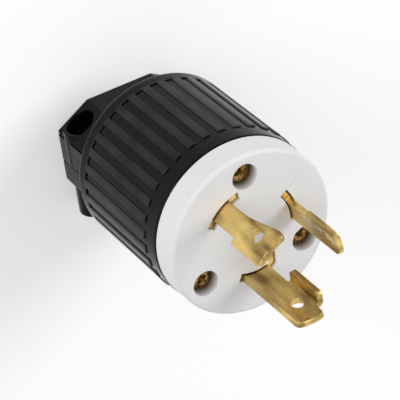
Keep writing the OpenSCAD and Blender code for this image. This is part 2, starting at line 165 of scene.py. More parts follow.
def wornMetal(name, look):
    # stamped or turned metal: fine drawing marks along Z, and uneven tarnished patches that dull and darken it;
    # stretched along Z, the same patches paint long light and dark reflection bands
    made, tree = newMaterial(name)
    spot = put(tree, "ShaderNodeTexCoord").outputs["Object"]
    stretched = put(tree, "ShaderNodeMapping", {"Vector": spot, "Scale": (1, 1, look["stretch"])})
    marks = put(tree, "ShaderNodeTexNoise", {
        "Vector": stretched.outputs["Vector"], "Scale": grainSize(look["marks"]), "Detail": 4.0})
    # painted reflection: for the blade brass the patches are stretched along Z into bright and dark bands
    bandStretch = put(tree, "ShaderNodeMapping", {"Vector": spot, "Scale": (1, 1, look["bands"])})
    tarnishAndSheen = put(tree, "ShaderNodeTexNoise", {
        "Vector": bandStretch.outputs["Vector"], "Scale": grainSize(look["tarnishAndSheen"]), "Detail": 4.0,
        "Roughness": 0.45})
    patch = put(tree, "ShaderNodeMapRange", {
        "Value": tarnishAndSheen.outputs["Fac"], "From Min": 0.38, "From Max": 0.64, "To Min": 0.0,
        "To Max": look["dirtAndSheen"]})
    tint = put(tree, "ShaderNodeMix", {"Factor": patch.outputs["Result"]}, data_type="RGBA")
    tint.inputs[6].default_value = linear(look["colour"])
    tint.inputs[7].default_value = linear(look["dark"])
    rough = put(tree, "ShaderNodeMapRange", {
        "Value": marks.outputs["Fac"], "From Min": 0.3, "From Max": 0.7,
        "To Min": look["rough"][0], "To Max": look["rough"][1]})
    bump = put(tree, "ShaderNodeBump", {
        "Height": marks.outputs["Fac"], "Strength": look["bump"], "Distance": 0.02 * mm})
    skin = put(tree, "ShaderNodeBsdfPrincipled", {
        "Base Color": tint.outputs[2], "Roughness": rough.outputs["Result"],
        "Metallic": 1.0, "Normal": bump.outputs["Normal"]})
    put(tree, "ShaderNodeOutputMaterial", {"Surface": skin.outputs["BSDF"]})
    return made


nylonLooks = {
    "blackNylon": {"colour": "#050506", "shade": "#070708", "rough": (0.1, 0.17), "ior": 1.53, "level": 0.1,
                   "soft": 0.0, "grain": 0.35, "sink": 8, "grainBump": 0.03, "sinkBump": 0.6,
                   "ribSheenTone": "#1b1b1d", "ribSheenLevel": 0.22, "ribRough": 0.06, "ribsFrom": 4.0,
                   "paintedCornerHighlight": 12.0},      # deep gloss with soft waves, satin rib tops with a painted sheen, and painted highlights on the rib corners
    "whiteNylon": {"colour": "#f4f5f7", "shade": "#eff0f2", "rough": (0.4, 0.52), "ior": 1.53, "level": 0.5,
                   "soft": 0.05, "grain": 0.3, "sink": 20, "grainBump": 0.08, "sinkBump": 0.08,
                   # satin, with painted shade, darker and warmer, down in its wells and slots
                   "deep": "#a0968a", "deepAt": 3.0, "deepR": 24.0},
    "baseNylon": {"colour": "#ddd9cf", "shade": "#d4cfc2", "rough": (0.5, 0.62), "ior": 1.53, "level": 0.5,
                  # duller filled grade
                  "soft": 0.05, "grain": 0.3, "sink": 12, "grainBump": 0.12, "sinkBump": 0.1},
    "redFibre": {"colour": "#8a3020", "shade": "#6f2418", "rough": (0.6, 0.75), "ior": 1.5, "level": 0.5,
                 # pressed fibre sheet
                 "soft": 0.0, "grain": 0.15, "sink": 3, "grainBump": 0.3, "sinkBump": 0.2},
}
metalLooks = {
    "bladeBrass": {"colour": "#e4c57c", "dark": "#6f552b", "rough": (0.2, 0.3), "dirtAndSheen": 0.95, "bands": 0.28,
                   # rolled strip brass; its patches are stretched into long light and dark bands, partly tarnished
                   # patches and partly a painted reflection
                   "marks": 0.1, "stretch": 0.1, "tarnishAndSheen": 4.5, "bump": 0.22},
    "bronzeScrew": {"colour": "#a98650", "dark": "#3d2c18", "rough": (0.18, 0.3), "dirtAndSheen": 0.9, "bands": 1.0,
                    # yellow-passivated steel
                    "marks": 0.1, "stretch": 1.0, "tarnishAndSheen": 1.2, "bump": 0.12},
    "nickelPlate": {"colour": "#c9c7c1", "dark": "#9c9a94", "rough": (0.2, 0.32), "dirtAndSheen": 0.5, "bands": 1.0,
                    # bright plate with a faint haze
                    "marks": 0.1, "stretch": 1.0, "tarnishAndSheen": 3.0, "bump": 0.12},
    "greenScrew": {"colour": "#3f7d4a", "dark": "#234f2e", "rough": (0.28, 0.4), "dirtAndSheen": 0.6, "bands": 1.0,
                   # green dyed passivation
                   "marks": 0.1, "stretch": 1.0, "tarnishAndSheen": 2.0, "bump": 0.12},
}
finishes = {name: mouldedNylon(name, look) for name, look in nylonLooks.items()}
finishes.update({name: wornMetal(name, look) for name, look in metalLooks.items()})
print("finishes ready: %d" % len(finishes))


def asObject(name, bm):
    mesh = bpy.data.meshes.new(name)
    bm.to_mesh(mesh)
    bm.free()
    piece = bpy.data.objects.new(name, mesh)
    scene.collection.objects.link(piece)
    return piece


def freeze(piece):
    # turns modifiers into plain mesh
    bpy.context.view_layer.update()
    solid = bpy.data.meshes.new_from_object(piece.evaluated_get(bpy.context.evaluated_depsgraph_get()))
    piece.modifiers.clear()
    piece.data = solid
    return piece


def drop(*pieces):
    for piece in pieces:
        bpy.data.objects.remove(piece)


def lathe(name, profile, steps=96):
    # profile points are (radius, height); the section may close on itself
    bm = bmesh.new()
    corners = [bm.verts.new((r, 0, z)) for r, z in profile]
    edges = [bm.edges.new(pair) for pair in zip(corners, corners[1:])]
    bmesh.ops.spin(bm, geom=corners + edges, angle=2 * math.pi, steps=steps, axis=(0, 0, 1), cent=(0, 0, 0))
    bmesh.ops.remove_doubles(bm, verts=bm.verts, dist=0.0005)
    bmesh.ops.recalc_face_normals(bm, faces=bm.faces)
    return asObject(name, bm)


def prism(name, outline, low, high, onto=None):
    # outline in X and Y, drawn out along Z; onto turns and moves the result
    bm = bmesh.new()
    face = bm.faces.new([bm.verts.new((x, y, low)) for x, y in outline])
    moved = bmesh.ops.extrude_face_region(bm, geom=[face])["geom"]
    for part in moved:
        if isinstance(part, bmesh.types.BMVert):
            part.co.z = high
    bmesh.ops.recalc_face_normals(bm, faces=bm.faces)
    if onto:
        bm.transform(onto)
    return asObject(name, bm)


def rod(name, radius, low, high, onto=None, steps=48, top=None):
    bm = bmesh.new()
    bmesh.ops.create_cone(bm, cap_ends=True, segments=steps, radius1=radius,
                          radius2=radius if top is None else top, depth=high - low)
    bmesh.ops.translate(bm, verts=bm.verts, vec=(0, 0, (low + high) / 2))
    if onto:
        bm.transform(onto)
    return asObject(name, bm)


def carve(target, tools, how="DIFFERENCE"):
    for tool in tools:
        step = target.modifiers.new(how, "BOOLEAN")
        step.operation = how
        step.solver = "EXACT"
        step.object = tool
        freeze(target)
        drop(tool)
    return target


def soften(piece, width, limit=40, rounds=2):
    bm = bmesh.new()
    bm.from_mesh(piece.data)
    bmesh.ops.dissolve_degenerate(bm, edges=bm.edges[:], dist=0.04)
    bm.to_mesh(piece.data)
    bm.free()
    edge = piece.modifiers.new("edge", "BEVEL")
    edge.width = width
    edge.segments = rounds
    edge.limit_method = "ANGLE"
    edge.angle_limit = math.radians(limit)
    edge.use_clamp_overlap = False
    edge.miter_outer = "MITER_ARC"
    return freeze(piece)


def arc(radius, start, end, count, centre=(0, 0)):
    turns = [math.radians(start + (end - start) * i / count) for i in range(count + 1)]
    return [(centre[0] + radius * math.cos(t), centre[1] + radius * math.sin(t)) for t in turns]


def roundCorners(points, radii, steps=5):
    # each corner becomes an arc of its radius; 0 keeps it sharp
    made = []
    count = len(points)
    for i, radius in enumerate(radii):
        here = Vector(points[i])
        if not radius:
            made.append(tuple(here))
            continue
        before = (Vector(points[i - 1]) - here).normalized()
        after = (Vector(points[(i + 1) % count]) - here).normalized()
        half = before.angle(after) / 2
        middle = here + (before + after).normalized() * radius / math.sin(half)
        start, end = here + before * radius / math.tan(half) - middle, here + after * radius / math.tan(half) - middle
        for k in range(steps + 1):
            turned = start.lerp(end, k / steps).normalized() * radius
            made.append(tuple(middle + turned))
    return made


def install(piece, finish, slot, *stands):
    # into metres and the plug's own frame, with its finish, hiding the solids it stands for; the slot argument is not
    # used
    piece.data.transform(Matrix.Scale(mm, 4))
    piece.data.materials.clear()
    piece.data.materials.append(finishes[finish])
    for face in piece.data.polygons:
        face.material_index = 0
    piece.data.shade_smooth()
    piece.data.set_sharp_from_angle(angle=math.radians(38))
    flat = piece.modifiers.new("flat", "WEIGHTED_NORMAL")      # large faces keep their own normal
    flat.keep_sharp = True
    freeze(piece)
    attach(piece, "root")
    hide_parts(*stands)
    print("%s: %d faces" % (piece.name, len(piece.data.polygons)))


# copies round a ring, for screws, bosses, wells, holes and notches

def ringTree():
    tree = bpy.data.node_groups.new("ringOfCopies", "GeometryNodeTree")
    ask = tree.interface.new_socket
    ask("Geometry", in_out="INPUT", socket_type="NodeSocketGeometry")
    ask("Source", in_out="INPUT", socket_type="NodeSocketObject")
    ask("Count", in_out="INPUT", socket_type="NodeSocketInt")
    ask("Ring radius", in_out="INPUT", socket_type="NodeSocketFloat")
    ask("First angle", in_out="INPUT", socket_type="NodeSocketFloat")
    ask("Finish", in_out="INPUT", socket_type="NodeSocketMaterial")
    ask("Geometry", in_out="OUTPUT", socket_type="NodeSocketGeometry")
    given = put(tree, "NodeGroupInput").outputs
    source = put(tree, "GeometryNodeObjectInfo", {"Object": given["Source"]})
    points = put(tree, "GeometryNodePoints", {"Count": given["Count"]})
    number = put(tree, "GeometryNodeInputIndex")
    share = put(tree, "ShaderNodeMath", {0: number.outputs[0], 1: given["Count"]}, operation="DIVIDE")
    turn = put(tree, "ShaderNodeMath", {0: share.outputs[0], 1: 2 * math.pi, 2: given["First angle"]},
               operation="MULTIPLY_ADD")
    heading = put(tree, "ShaderNodeCombineXYZ", {"Z": turn.outputs[0]})
    outward = put(tree, "ShaderNodeCombineXYZ", {"X": given["Ring radius"]})
    spot = put(tree, "ShaderNodeVectorRotate", {"Vector": outward.outputs[0], "Angle": turn.outputs[0]},
               rotation_type="Z_AXIS")
    placed = put(tree, "GeometryNodeSetPosition", {"Geometry": points.outputs[0],
                                                   "Position": spot.outputs[0]})
    copies = put(tree, "GeometryNodeInstanceOnPoints", {
        "Points": placed.outputs[0], "Instance": source.outputs["Geometry"],
        "Rotation": heading.outputs[0]})
    real = put(tree, "GeometryNodeRealizeInstances", {"Geometry": copies.outputs[0]})
    painted = put(tree, "GeometryNodeSetMaterial", {"Geometry": real.outputs[0],
                                                    "Material": given["Finish"]})
    put(tree, "NodeGroupOutput", {"Geometry": painted.outputs[0]})
    return tree


ringOfCopies = ringTree()


def runTree(name, tree, values):
    # an empty mesh that the tree fills, with its inputs set by identifier
    piece = bpy.data.objects.new(name, bpy.data.meshes.new(name))
    step = piece.modifiers.new(tree.name, "NODES")
    step.node_group = tree
    for item in tree.interface.items_tree:
        if item.in_out == "INPUT" and item.name in values:
            step[item.identifier] = values[item.name]
    scene.collection.objects.link(piece)
    return freeze(piece)


def ringCopies(name, source, count, radius, firstAngle, finish):
    made = runTree(name, ringOfCopies, {
        "Source": source, "Count": count, "Ring radius": float(radius),
        "First angle": math.radians(firstAngle), "Finish": finishes[finish]})
    drop(source)
    return made


# ribbed rear shell: one profile swept round, ribs raised by a section that repeats

shell = {
    "ribs": 33, "ribRise": 0.5, "ribShare": 0.54, "ribEdge": 0.16, "floor": 3.5, "wall": 2.4,
    "rearBand": 4.3, "frontBand": 5.9, "rearLip": 1.4, "frontRound": 0.8,
    "port": 14.0, "portTravel": 1.2, "boss": 4.2, "bossHeight": 16.0, "insertHole": 2.9, "insertDepth": 9.0,
    "firstScrew": 90.0,
}
bandR = shellR - shell["ribRise"]
boreR = bandR - shell["wall"]
screwRing = (mmBox("assembly_screws")[1].y - mmBox("assembly_screws")[0].y) / 1.5 - 2 * 3.4 / 1.5


def shellTree():
    tree = bpy.data.node_groups.new("ribbedShell", "GeometryNodeTree")
    ask = tree.interface.new_socket
    ask("Geometry", in_out="INPUT", socket_type="NodeSocketGeometry")
    ask("Profile", in_out="INPUT", socket_type="NodeSocketObject")
    ask("Rib section", in_out="INPUT", socket_type="NodeSocketObject")
    ask("Ribs", in_out="INPUT", socket_type="NodeSocketInt")
    ask("Rib rise", in_out="INPUT", socket_type="NodeSocketFloat")
    ask("Port travel", in_out="INPUT", socket_type="NodeSocketFloat")
    ask("First angle", in_out="INPUT", socket_type="NodeSocketFloat")
    ask("Finish", in_out="INPUT", socket_type="NodeSocketMaterial")
    ask("Geometry", in_out="OUTPUT", socket_type="NodeSocketGeometry")
    given = put(tree, "NodeGroupInput").outputs

    def maths(how, *values):
        return put(tree, "ShaderNodeMath", dict(enumerate(values)), operation=how).outputs[0]

    profile = put(tree, "GeometryNodeObjectInfo", {"Object": given["Profile"]}).outputs["Geometry"]
    section = put(tree, "GeometryNodeObjectInfo", {"Object": given["Rib section"]}).outputs["Geometry"]
    rows = put(tree, "GeometryNodeAttributeDomainSize", {"Geometry": profile}).outputs["Point Count"]
    perRib = put(tree, "GeometryNodeAttributeDomainSize", {"Geometry": section}).outputs["Point Count"]
    columns = maths("ADD", maths("MULTIPLY", given["Ribs"], perRib), 1.0)
    grid = put(tree, "GeometryNodeMeshGrid", {"Vertices X": columns, "Vertices Y": rows}).outputs["Mesh"]
    number = put(tree, "GeometryNodeInputIndex").outputs[0]
    row = maths("MODULO", number, rows)
    column = maths("FLOOR", maths("DIVIDE", maths("ADD", number, 0.5), rows))
    place = put(tree, "GeometryNodeInputPosition").outputs[0]
    rise = put(tree, "GeometryNodeInputNamedAttribute", {"Name": "rise"},
               data_type="FLOAT").outputs["Attribute"]
    port = put(tree, "GeometryNodeInputNamedAttribute", {"Name": "port"},
               data_type="FLOAT").outputs["Attribute"]

    def sample(geometry, value, index, kind="FLOAT"):
        return put(tree, "GeometryNodeSampleIndex", {"Geometry": geometry, "Value": value, "Index": index},
                   data_type=kind).outputs["Value"]

    atRow = put(tree, "ShaderNodeSeparateXYZ", {0: sample(profile, place, row, "FLOAT_VECTOR")}).outputs
    inRib = put(tree, "ShaderNodeSeparateXYZ", {
        0: sample(section, place, maths("MODULO", column, perRib), "FLOAT_VECTOR")}).outputs
    ribNumber = maths("FLOOR", maths("DIVIDE", maths("ADD", column, 0.5), perRib))
    ribTurn = maths("DIVIDE", maths("ADD", ribNumber, inRib["X"]), given["Ribs"])
    angle = maths("MULTIPLY_ADD", ribTurn, 2 * math.pi, given["First angle"])
    raised = maths("MULTIPLY", maths("MULTIPLY", sample(profile, rise, row), inRib["Y"]), given["Rib rise"])
    radius = maths("ADD", atRow["X"], raised)
    across = maths("SINE", angle)
    side = maths("SIGN", maths("ROUND", maths("MULTIPLY", across, 1000.0)))
    shift = maths("MULTIPLY", maths("MULTIPLY", sample(profile, port, row), side), given["Port travel"])
    spot = put(tree, "ShaderNodeCombineXYZ", {
        "X": maths("MULTIPLY", radius, maths("COSINE", angle)),
        "Y": maths("MULTIPLY_ADD", radius, across, shift), "Z": atRow["Z"]}).outputs[0]
    bent = put(tree, "GeometryNodeSetPosition", {"Geometry": grid, "Position": spot}).outputs[0]
    closed = put(tree, "GeometryNodeMergeByDistance", {"Geometry": bent, "Distance": 0.0005}).outputs[0]
    real = put(tree, "GeometryNodeRealizeInstances", {"Geometry": closed}).outputs[0]
    painted = put(tree, "GeometryNodeSetMaterial", {"Geometry": real,
                                                    "Material": given["Finish"]}).outputs[0]
    put(tree, "NodeGroupOutput", {"Geometry": painted})
    return tree


def polyline(name, points, **marks):
    mesh = bpy.data.meshes.new(name)
    mesh.from_pydata([p[:3] for p in points], [(i, i + 1) for i in range(len(points) - 1)], [])
    for key, values in marks.items():
        mesh.attributes.new(key, "FLOAT", "POINT").data.foreach_set("value", values)
    made = bpy.data.objects.new(name, mesh)
    scene.collection.objects.link(made)
    return made


def shellProfile():
    # (radius, height, rib share, port share), once round the wall from the front rim
    ribLow, ribHigh = shellZ + shell["rearBand"], rimZ - shell["frontBand"]
    soft, edge = shell["frontRound"], shell["ribEdge"]
    front = [(bandR - soft + x, rimZ - soft + y) for x, y in arc(soft, 90, 0, 5)]
    lip = shell["rearLip"]
    rear = [(shellR - lip + x, shellZ + lip + y) for x, y in arc(lip, 0, -90, 6)]
    floorZ = shellZ + shell["floor"]
    rows = [(r, z, 0, 0) for r, z in front]
    rows += [(bandR, ribHigh + edge, 0, 0), (bandR, ribHigh + 0.25 * edge, 0, 0), (bandR, ribHigh, 0.6, 0),
             (bandR, ribHigh - 0.4 * edge, 0.92, 0), (bandR, ribHigh - edge, 1, 0)]
    rows += [(bandR, ribHigh + (ribLow - ribHigh) * k / 6, 1, 0) for k in range(1, 6)]
    rows += [(bandR, ribLow + edge, 1, 0)]
    step = shell["ribRise"]
    rows += [(bandR, ribLow + 0.03, 1, 0), (bandR + 0.6 * step, ribLow, 0.4, 0),
             (bandR + 0.92 * step, ribLow - 0.4 * edge, 0.08, 0), (shellR, ribLow - edge, 0, 0)]
    rows += [(r, z, 0, 0) for r, z in rear]
    rows += [(shell["port"] + 0.3, shellZ, 0, 1), (shell["port"], shellZ + 0.3, 0, 1),
             (shell["port"], floorZ - 0.2, 0, 1), (shell["port"] + 0.2, floorZ, 0, 1),
             (boreR - 1.0, floorZ, 0, 0), (boreR - 0.3, floorZ + 0.3, 0, 0), (boreR, floorZ + 1.0, 0, 0),
             (boreR, rimZ - 0.3, 0, 0), (boreR + 0.3, rimZ, 0, 0)]
    rows.append(rows[0])
    return polyline("shellProfile", [(r, 0, z) for r, z, _, _ in rows],
                    rise=[row[2] for row in rows], port=[row[3] for row in rows])


def ribSection():
    # (share of the pitch, share of the rise), from the middle of one groove to the next
    pitch = 2 * math.pi * shellR / shell["ribs"]
    flank, edge = 0.2 / pitch, shell["ribEdge"] / pitch
    foot = 0.5 - shell["ribShare"] / 2
    half = [(0, 0), (foot * 0.5, 0), (foot - edge, 0), (foot - 0.2 * edge, 0.04),
            (foot + flank * 0.5, 0.7), (foot + flank, 0.94), (foot + flank + edge, 1), (0.5 - foot * 0.3,
                                                                                        1)]
    other = [(1 - u, h) for u, h in reversed(half[1:])]
    return polyline("ribSection", [(u, h, 0) for u, h in half + other])


def buildShell():
    profile, section = shellProfile(), ribSection()
    made = runTree("shell_ribbed", shellTree(), {
        "Profile": profile, "Rib section": section, "Ribs": shell["ribs"], "Rib rise": shell["ribRise"],
        "Port travel": shell["portTravel"], "First angle": math.radians(shell["firstScrew"]),
        "Finish": finishes["blackNylon"]})
    drop(profile, section)
    low, high = shellZ + shell["floor"] - 0.3, shellZ + shell["floor"] + shell["bossHeight"]
    deep = high - shell["insertDepth"]
    boss = lathe("boss", [(0, low), (shell["boss"], low), (shell["boss"], high - 0.3),
                          (shell["boss"] - 0.3, high),
                          (shell["insertHole"] + 0.2, high), (shell["insertHole"], high - 0.2),
                          (shell["insertHole"], deep), (0, deep)], 40)
    bosses = ringCopies("bosses", boss, 3, screwRing, shell["firstScrew"], "blackNylon")
    bm = bmesh.new()
    bm.from_mesh(made.data)
    bmesh.ops.recalc_face_normals(bm, faces=bm.faces)
    bm.from_mesh(bosses.data)
    bm.to_mesh(made.data)
    bm.free()
    drop(bosses)
    install(made, "blackNylon", "black_nylon", "rear_housing")


buildShell()

# white body: turned blank, then the slots, wells and holes cut in it

body = {
    "radius": 25.5, "edge": 1.3, "spigot": 23.2, "well": 3.9, "wellDepth": 4.9, "clearHole": 2.1,
    "slotIn": 12.65, "slotOut": 15.2, "bead": 0.8, "beadRise": 0.12, "slotEdge": 0.16,
    "coreHole": 1.5, "coreDepth": 8.5,
}


def ringSlot(name, start, end, low, high):
    count = max(6, round((end - start) / 2.5))
    outline = arc(body["slotOut"], start, end, count) + arc(body["slotIn"], end, start, count)
    return prism(name, outline, low, high)


def buildBody():
    radius, edge, bead = body["radius"], body["edge"], body["bead"]
    crown = [(radius - edge + x, faceZ - edge + y) for x, y in arc(edge, 90, 0, 8)]
    swell = radius + body["beadRise"]
    profile = [(0, faceZ)] + crown + [
        (radius, rimZ + bead + 0.25), (swell, rimZ + bead), (swell, rimZ + 0.15), (radius - 0.05, rimZ),
        (body["spigot"], rimZ), (body["spigot"], spigotZ + 0.3), (body["spigot"] - 0.3, spigotZ), (0,
                                                                                                   spigotZ)]
    made = lathe("body_white", profile, 160)
    low, high = spigotZ - 1, faceZ + 1
    cutters = [ringSlot("slot", blade["slot"][0], blade["slot"][1], low, high) for blade in (neutral, hot)]
    hook = prism("hookSlot", hookSlot(), low, high)
    wells = ringCopies("wells", rod("well", body["well"], faceZ - body["wellDepth"], high, steps=64), 3,
                       screwRing, shell["firstScrew"], "whiteNylon")
    holes = ringCopies("holes", rod("hole", body["clearHole"], low, faceZ - body["wellDepth"] + 1), 3,
                       screwRing, shell["firstScrew"], "whiteNylon")
    core = rod("core", body["coreHole"], low, spigotZ + body["coreDepth"])
    carve(made, cutters + [hook, wells, holes, core])
    soften(made, body["slotEdge"], 50, 2)
    install(made, "whiteNylon", "white_nylon", "front_body")


# blades: cut flat as an outline, then bent to the blade circle

bladeR, bladeT = 14.8, 1.8
acrossY = Matrix.Rotation(math.radians(-90), 4, "X")      # +Z of a tool becomes +Y
neutral = {"slot": (100.5, 151.0), "shank": (113.3, 140.1), "head": (103.6, 147.6), "hole": (122.8, 17.4),
           "length": 24.3, "flareTop": 21.5, "leg": 125.75}
hot = {"slot": (-5.0, 35.7), "shank": (-4.3, 22.0), "head": (-4.3, 30.0), "hole": (12.0, 18.0),
       "length": 23.3, "leg": 15.35}
ground = {"slot": (247.0, 294.5), "shank": (250.0, 286.5), "hole": (272.0, 19.5), "length": 28.0,
          "hookTop": 24.0, "hookX": 6.15, "hookEnd": -9.0, "bend": 2.0, "leg": 268.0}
common = {"notch": 10.2, "shoulder": -0.8, "foot": -15.0, "slotGap": 0.7, "holeR": 2.0,
          "edge": 0.2, "tipEdge": 0.32, "tipZone": 0.9, "holeEdge": 0.22, "legWidth": 11.0, "legIn": 0.3,
          "legHole": 2.3, "legDrop": 29.3, "screwRise": 6.0}
bendAt = 270 + math.degrees(math.asin((ground["hookX"] - ground["bend"]) / (bladeR - ground["bend"])))


def along(azimuth):
    return math.radians(azimuth) * bladeR      # run round the blade circle


def onPath(run, depth, bends):
    # point at that run, depth inwards from the outer face; past the bend the strip turns straight inwards
    last = along(bendAt)
    if not bends or run <= last:
        turn = run / bladeR
        return (bladeR - depth) * math.cos(turn), (bladeR - depth) * math.sin(turn)
    start, small = math.radians(bendAt), ground["bend"]
    centre = Vector((math.cos(start), math.sin(start))) * (bladeR - small)
    turn = start + (run - last) / small
    finish = 2 * math.pi
    if turn <= finish:
        return tuple(centre + Vector((math.cos(turn), math.sin(turn))) * (small - depth))
    return centre.x + small - depth, centre.y + (turn - finish) * small


def hookSlot():
    gap = 0.35
    outer = [onPath(along(a), -0.4, True) for a in range(247, round(bendAt) - 1, 2)]
    inner = [onPath(along(a), bladeT + gap, True) for a in range(round(bendAt) - 4, 246, -2)]
    right, left = ground["hookX"] + gap, ground["hookX"] - bladeT - gap
    top = ground["hookEnd"] + gap
    return outer + [(right, -13.3), (right, top), (left, top), (left, inner[0][1] + 0.3)] + inner


def inset(outline, widths):
    # an anticlockwise outline moved inwards, by its own width at each corner
    made = []
    for i, (here, width) in enumerate(zip(outline, widths)):
        before = (here - outline[i - 1]).normalized()
        after = (outline[(i + 1) % len(outline)] - here).normalized()
        inward = Vector((-before.y - after.y, before.x + after.x)).normalized()
        made.append(here + inward * width / max(0.5, inward.dot(Vector((-before.y, before.x)))))
    return made


def roundedPlate(name, outline, tipTop=None):
    # flat blank as (run, depth, height), its edges rounded over and pressed wider round the tip
    outline = [Vector(p) for p in outline]
    widths = []
    for point in outline:
        share = 0 if tipTop is None else min(1, max(0, 1 + (point.y - tipTop) / common["tipZone"]))
        widths.append(common["edge"] + (common["tipEdge"] - common["edge"]) * share)
    bm = bmesh.new()
    rings = []
    for side in (1, -1):
        for k in range(4)[::side]:
            turn = math.radians(30 * k)
            moved = inset(outline, [w * (1 - math.sin(turn)) for w in widths])
            depths = [w * (1 - math.cos(turn)) for w in widths]
            rings.append([bm.verts.new((p.x, d if side > 0 else bladeT - d, p.y)) for p, d in zip(moved,
                                                                                                  depths)])
    for near, far in zip(rings, rings[1:]):
        for i in range(len(outline)):
            j = i - 1
            bm.faces.new((near[j], near[i], far[i], far[j]))
    bm.faces.new(rings[0])
    bm.faces.new(reversed(rings[-1]))
    bmesh.ops.recalc_face_normals(bm, faces=bm.faces)
    return asObject(name, bm)


def punch(piece, radius, run, height):
    # a round hole through the flat blank, with both its edges rolled over
    roll = common["holeEdge"]
    near = [(radius + roll - x, y) for x, y in [(roll * math.sin(t),
                                                 roll * (1 - math.cos(t))) for t in (0, 0.52, 1.05, 1.57)]]
    far = [(r, bladeT - d) for r, d in reversed(near)]
    rows = [(0, -1), (radius + roll, -1)] + near + far + [(radius + roll, bladeT + 1), (0, bladeT + 1)]
    tool = lathe("punch", rows, 48)
    tool.data.transform(Matrix.Translation((run, 0, height)) @ acrossY)
    return carve(piece, [tool])


def bendBlank(piece, bends):
    # cut into strips along the run, then wrapped round the blade circle
    bm = bmesh.new()
    bm.from_mesh(piece.data)
    runs = [v.co.x for v in bm.verts]
    here = min(runs) + 0.3
    while here < max(runs):
        bmesh.ops.bisect_plane(bm, geom=bm.verts[:] + bm.edges[:] + bm.faces[:], dist=0.0005,
                               plane_co=(here, 0, 0), plane_no=(1, 0, 0))
        here += 0.22 if bends and here > along(bendAt) - 0.2 else 0.62
    for corner in bm.verts:
        corner.co.x, corner.co.y = onPath(corner.co.x, corner.co.y, bends)
    bm.to_mesh(piece.data)
    bm.free()


def leg(azimuth):
    half, low, high = common["legWidth"] / 2, faceZ - common["legDrop"], spigotZ - 0.1
    outline = roundCorners([(-half, low), (half, low), (half, high), (-half, high)], [1, 1, 0.4, 0.4])
    made = roundedPlate("leg", outline)
    punch(made, common["legHole"], 0, low + common["screwRise"])
    onto = Matrix.Rotation(math.radians(azimuth + 90), 4, "Z") @ \
        Matrix.Translation((0, common["legIn"] - bladeR, 0))
    made.data.transform(onto)
    return made


def buildBlade(name, blade, points, radii, node):
    bends = "hookX" in blade
    outline = roundCorners([(along(a), faceZ + z) for a, z in points], radii)
    made = roundedPlate(name, outline, faceZ + blade["length"])
    azimuth, height = blade["hole"]
    punch(made, common["holeR"], along(azimuth), faceZ + height)
    bendBlank(made, bends)
    carve(made, [leg(blade["leg"])], "UNION")
    install(made, "bladeBrass", "blade_brass", node)


def bladePoints(blade):
    gap, low, shelf, notch = common["slotGap"], common["foot"], common["shoulder"], common["notch"]
    start, end = blade["slot"][0] + gap, blade["slot"][1] - gap
    shank, head, top = blade["shank"], blade["head"], blade["length"]
    return start, end, shank, head, top, low, shelf, notch


def neutralBlade():
    start, end, shank, head, top, low, shelf, notch = bladePoints(neutral)
    points = [(start, low), (end, low), (end, shelf), (shank[1], shelf), (shank[1], notch), (head[1],
                                                                                             notch),
              (head[1], top), (head[0], top), (head[0], neutral["flareTop"]), (shank[0], notch),
              (shank[0], shelf), (start, shelf)]
    buildBlade("blade_broad", neutral, points, [0.4, 0.4, 0.5, 0.3, 0.3, 0.5, 1.5, 1.4, 3.0, 34.0, 0.3,
                                                0.5], "blade_neutral")


def hotBlade():
    start, end, shank, head, top, low, shelf, notch = bladePoints(hot)
    points = [(start, low), (end, low), (end, shelf), (shank[1], shelf), (shank[1], notch), (head[1],
                                                                                             notch),
              (head[1], top), (head[0], top)]
    buildBlade("blade_narrow", hot, points, [0.4, 0.4, 0.5, 0.3, 0.3, 0.5, 2.8, 1.3], "blade_hot")


def groundBlade():
    gap, low, shelf, notch = common["slotGap"], common["foot"], common["shoulder"], common["notch"]
    shank, top, hookTop = ground["shank"], ground["length"], ground["hookTop"]
    bendRun = math.radians(360 - bendAt) * ground["bend"]
    flange = ground["hookEnd"] + (bladeR - ground["bend"]) * math.cos(math.radians(bendAt - 270))
    tab = math.degrees((along(bendAt) + bendRun + flange) / bladeR)
    points = [(ground["slot"][0] + gap, low), (tab, low), (tab, shelf), (shank[1], shelf), (shank[1],
                                                                                            notch),
              (tab, notch), (tab, hookTop), (shank[1], hookTop), (shank[1], top), (shank[0], top),
              (shank[0], shelf),
              (ground["slot"][0] + gap, shelf)]
    buildBlade("blade_long", ground, points, [0.4, 0.4, 0.5, 0.3, 0.4, 1.0, 1.2, 0.4, 1.4, 1.4, 0.3, 0.5],
               "blade_ground")


buildBody()
neutralBlade()
hotBlade()
groundBlade()

# screws: pan head with a cross recess, and a rolled thread

screw = {"thread": 1.75, "pitch": 0.7, "depth": 0.38, "head": 3.4, "headHeight": 2.4, "recess": 4.3,
         "recessWidth": 1.15, "recessDeep": 1.5, "turnSteps": 18}


def threadedShank(bottom, top):
    # a grid round the shank whose radius follows the height and the turn
    steps, perPitch = screw["turnSteps"], 4
    rise = screw["pitch"] / perPitch
    rows = int((top - bottom) / rise)
    bm = bmesh.new()
    rings = []
    for j in range(rows + 1):
        height = bottom + j * rise
        ease = min(1.0, (j + 0.5) / (2 * perPitch))      # lead-in at the tip
        ring = []
        for i in range(steps):
            phase = (height / screw["pitch"] - i / steps) % 1
            depth = screw["depth"] * abs(2 * phase - 1)
            radius = (screw["thread"] - depth) * (0.75 + 0.25 * ease)
            turn = 2 * math.pi * i / steps
            ring.append(bm.verts.new((radius * math.cos(turn), radius * math.sin(turn), height)))
        rings.append(ring)
    for lower, upper in zip(rings, rings[1:]):
        for i in range(steps):
            k = (i + 1) % steps
            bm.faces.new((lower[i], lower[k], upper[k], upper[i]))
    bm.faces.new(list(reversed(rings[0])))
    bm.faces.new(rings[-1])
    return asObject("shank", bm)


